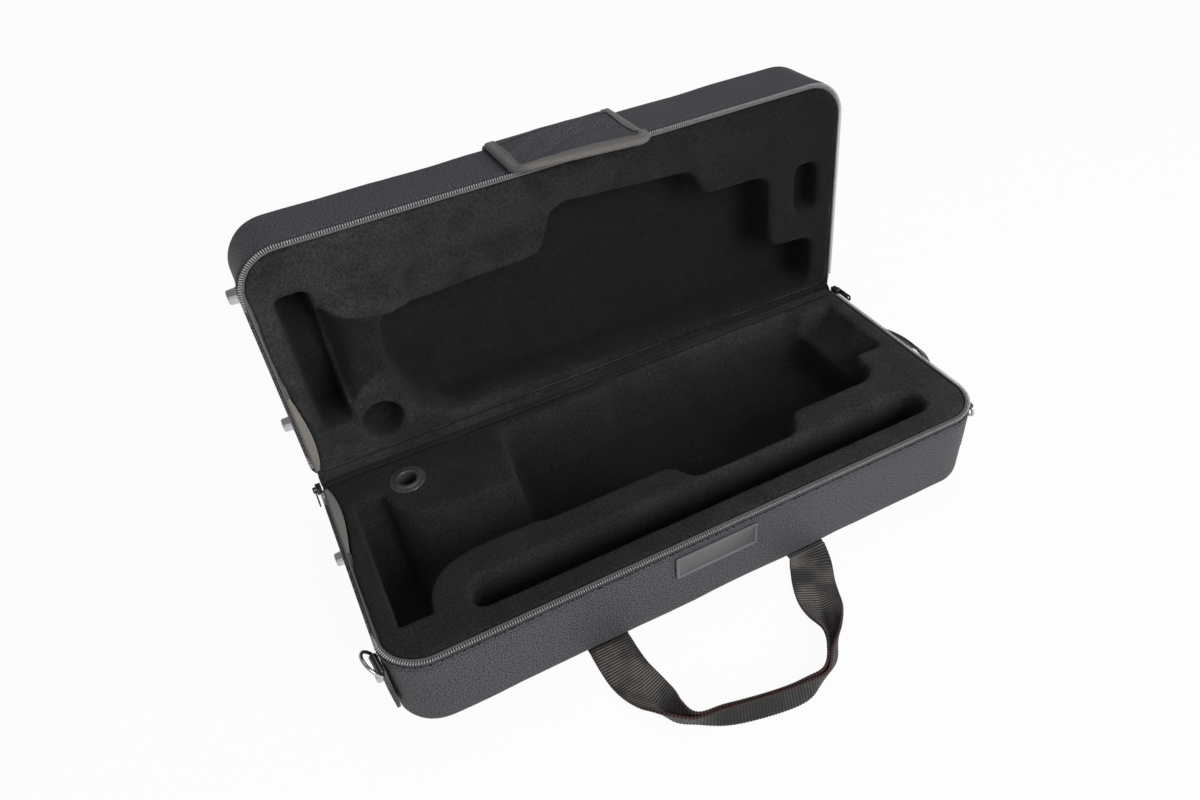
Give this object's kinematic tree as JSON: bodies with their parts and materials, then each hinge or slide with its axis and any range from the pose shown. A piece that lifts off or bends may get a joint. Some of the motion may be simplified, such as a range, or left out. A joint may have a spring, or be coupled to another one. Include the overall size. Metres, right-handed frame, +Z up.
{
  "type": "trumpet case",
  "caption": "Zipped padded case for a trumpet, open: moulded plush insert in base and lid, webbing carrying loop with a fold-over wrap, strap rings and end feet.",
  "frame": {"origin": "middle of the resting face under the base, at the table's level", "axes": "+X along the case away from the bell's end, -Y the front where it opens, +Z up with the base flat on a table"},
  "size_m": [0.6121, 0.4417, 0.3294],
  "materials": {
    "outer_nylon": "woven nylon",
    "board": "unfinished fibre board",
    "plush": "short plush",
    "zip_tape": "woven tape",
    "zip_coil": "semi-gloss",
    "black_plastic": "gloss",
    "badge": "satin",
    "webbing": "ribbed webbing",
    "binding": "ribbed tape",
    "chrome_metal": "polished",
    "rivet_steel": "satin",
    "slider_metal": "gloss enamel",
    "hook_and_loop": "hook and loop"
  },
  "bodies": {
    "base": {"base_cover": "outer_nylon", "base_core": "board", "base_insert": "plush", "base_zip_tape": "zip_tape", "base_zip_coil": "zip_coil", "mouthpiece_holder": "black_plastic", "badge_plate": "badge", "handle_anchor_straps": "webbing", "base_end_feet": "chrome_metal", "base_foot_rivets": "rivet_steel", "end_grab_handle": "webbing", "grab_handle_rivets": "rivet_steel", "hinge_cloth": "outer_nylon", "hinge_lining": "plush", "left_ring_tab": "webbing", "right_ring_tab": "webbing", "left_zip_slider": "slider_metal", "right_zip_slider": "slider_metal"},
    "lid": {"lid_cover": "outer_nylon", "lid_core": "board", "lid_insert": "plush", "lid_zip_tape": "zip_tape", "lid_zip_coil": "zip_coil", "lid_end_feet": "chrome_metal", "lid_foot_rivets": "rivet_steel", "wrap_sewn_edge": "outer_nylon"},
    "carry_handle": {"carry_handle": "webbing"},
    "wrap": {"handle_wrap": "outer_nylon", "wrap_binding": "binding", "wrap_hook_strip": "hook_and_loop", "wrap_loop_strip": "hook_and_loop"},
    "left_ring": {"left_d_ring": "chrome_metal"},
    "right_ring": {"right_d_ring": "chrome_metal"},
    "left_pull": {"left_zip_pull": "slider_metal"},
    "right_pull": {"right_zip_pull": "slider_metal"}
  },
  "joints": [
    {"name": "lid_hinge", "type": "hinge", "parent": "base", "child": "lid", "pos_m": [0, 0.1175, 0.088], "axis": [1, 0, 0], "range_deg": [0, 92], "deforming": ["hinge_cloth", "hinge_lining"]},
    {"name": "carry_handle_swing", "type": "hinge", "parent": "base", "child": "carry_handle", "pos_m": [-0.0095, -0.1175, 0.0012], "axis": [-1, 0, 0], "range_deg": [0, 70]},
    {"name": "wrap_swing", "type": "hinge", "parent": "lid", "child": "wrap", "pos_m": [0.009, 0.18748, 0.3269], "axis": [-1, 0, 0], "range_deg": [0, 170]},
    {"name": "left_ring_swing", "type": "hinge", "parent": "base", "child": "left_ring", "pos_m": [-0.29259, -0.08676, 0.069], "axis": [-0.1219, 0.9925, 0], "range_deg": [-140, 26]},
    {"name": "right_ring_swing", "type": "hinge", "parent": "base", "child": "right_ring", "pos_m": [0.29259, -0.08676, 0.069], "axis": [-0.1219, -0.9925, 0], "range_deg": [-8, 158]},
    {"name": "left_pull_swing", "type": "hinge", "parent": "base", "child": "left_pull", "pos_m": [-0.293, 0.1085, 0.088], "axis": [0, 0, -1], "range_deg": [0, 170]},
    {"name": "right_pull_swing", "type": "hinge", "parent": "base", "child": "right_pull", "pos_m": [0.293, 0.1085, 0.088], "axis": [0, 0, 1], "range_deg": [0, 170]}
  ]
}
